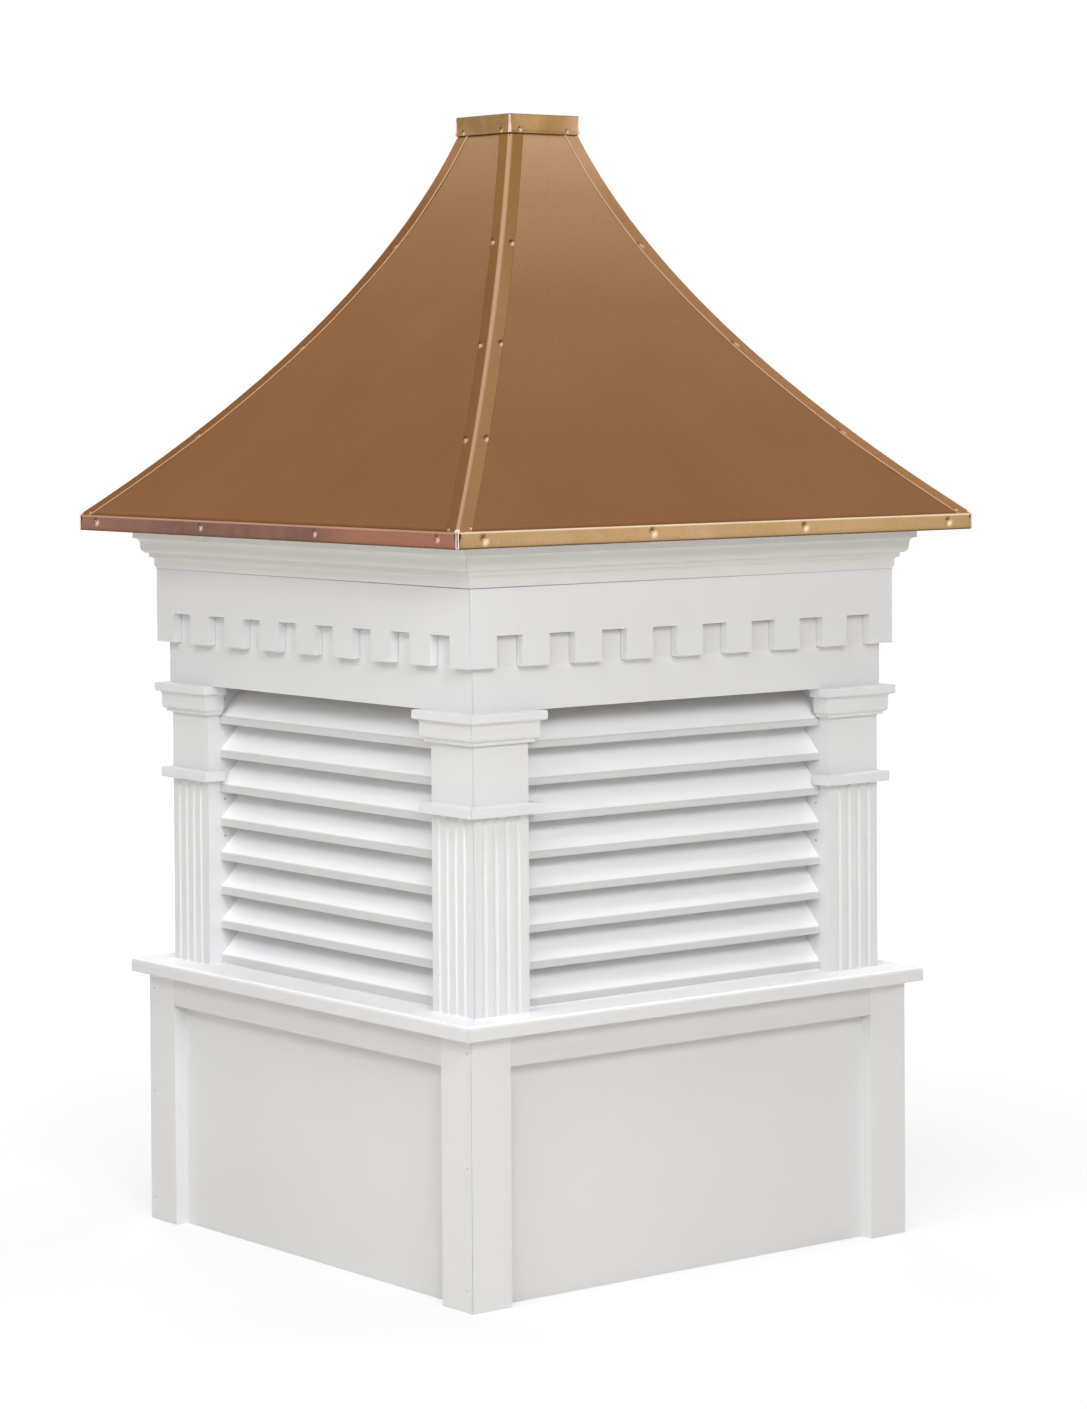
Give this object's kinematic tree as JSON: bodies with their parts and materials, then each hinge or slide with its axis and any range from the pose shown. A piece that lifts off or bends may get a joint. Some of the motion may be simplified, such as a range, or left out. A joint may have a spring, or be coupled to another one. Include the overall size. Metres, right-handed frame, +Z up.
{
  "type": "roof cupola",
  "caption": "Square louvred roof cupola with fluted corner posts, a dentil frieze and a concave copper roof with a flat cap.",
  "frame": {"origin": "centre of the base's underside, the plane on which the cupola stands", "axes": "+Z up along the cupola's axis; the four like sides face -Y (front), +X (right), +Y (back) and -X (left)"},
  "size_m": [0.8992, 0.8992, 1.5684],
  "materials": {
    "white_trim": "satin white cellular PVC trim",
    "copper": "new copper sheet, lightly browned, satin",
    "plywood": "raw plywood"
  },
  "bodies": {
    "root": {"base_panels": "white_trim", "base_corner_board_front_right": "white_trim", "base_corner_board_back_right": "white_trim", "base_corner_board_back_left": "white_trim", "base_corner_board_front_left": "white_trim", "base_top_rails": "white_trim", "sill_board_front": "white_trim", "sill_board_right": "white_trim", "sill_board_back": "white_trim", "sill_board_left": "white_trim", "fluted_post_front_right": "white_trim", "fluted_post_back_right": "white_trim", "fluted_post_back_left": "white_trim", "fluted_post_front_left": "white_trim", "post_neck_bands": "white_trim", "post_capitals": "white_trim", "louvre_blades_front": "white_trim", "louvre_blades_right": "white_trim", "louvre_blades_back": "white_trim", "louvre_blades_left": "white_trim", "louvre_jambs": "white_trim", "frieze_boards": "white_trim", "dentil_board_front": "white_trim", "dentil_board_right": "white_trim", "dentil_board_back": "white_trim", "dentil_board_left": "white_trim", "crown_moulding_front": "white_trim", "crown_moulding_right": "white_trim", "crown_moulding_back": "white_trim", "crown_moulding_left": "white_trim", "soffit_boards": "white_trim", "eave_drip_edges": "copper", "roof_sheathing": "plywood", "copper_panel_front": "copper", "copper_panel_right": "copper", "copper_panel_back": "copper", "copper_panel_left": "copper", "hip_cap_front_right": "copper", "hip_cap_back_right": "copper", "hip_cap_back_left": "copper", "hip_cap_front_left": "copper", "peak_block": "plywood", "top_cap": "copper"}
  },
  "joints": []
}
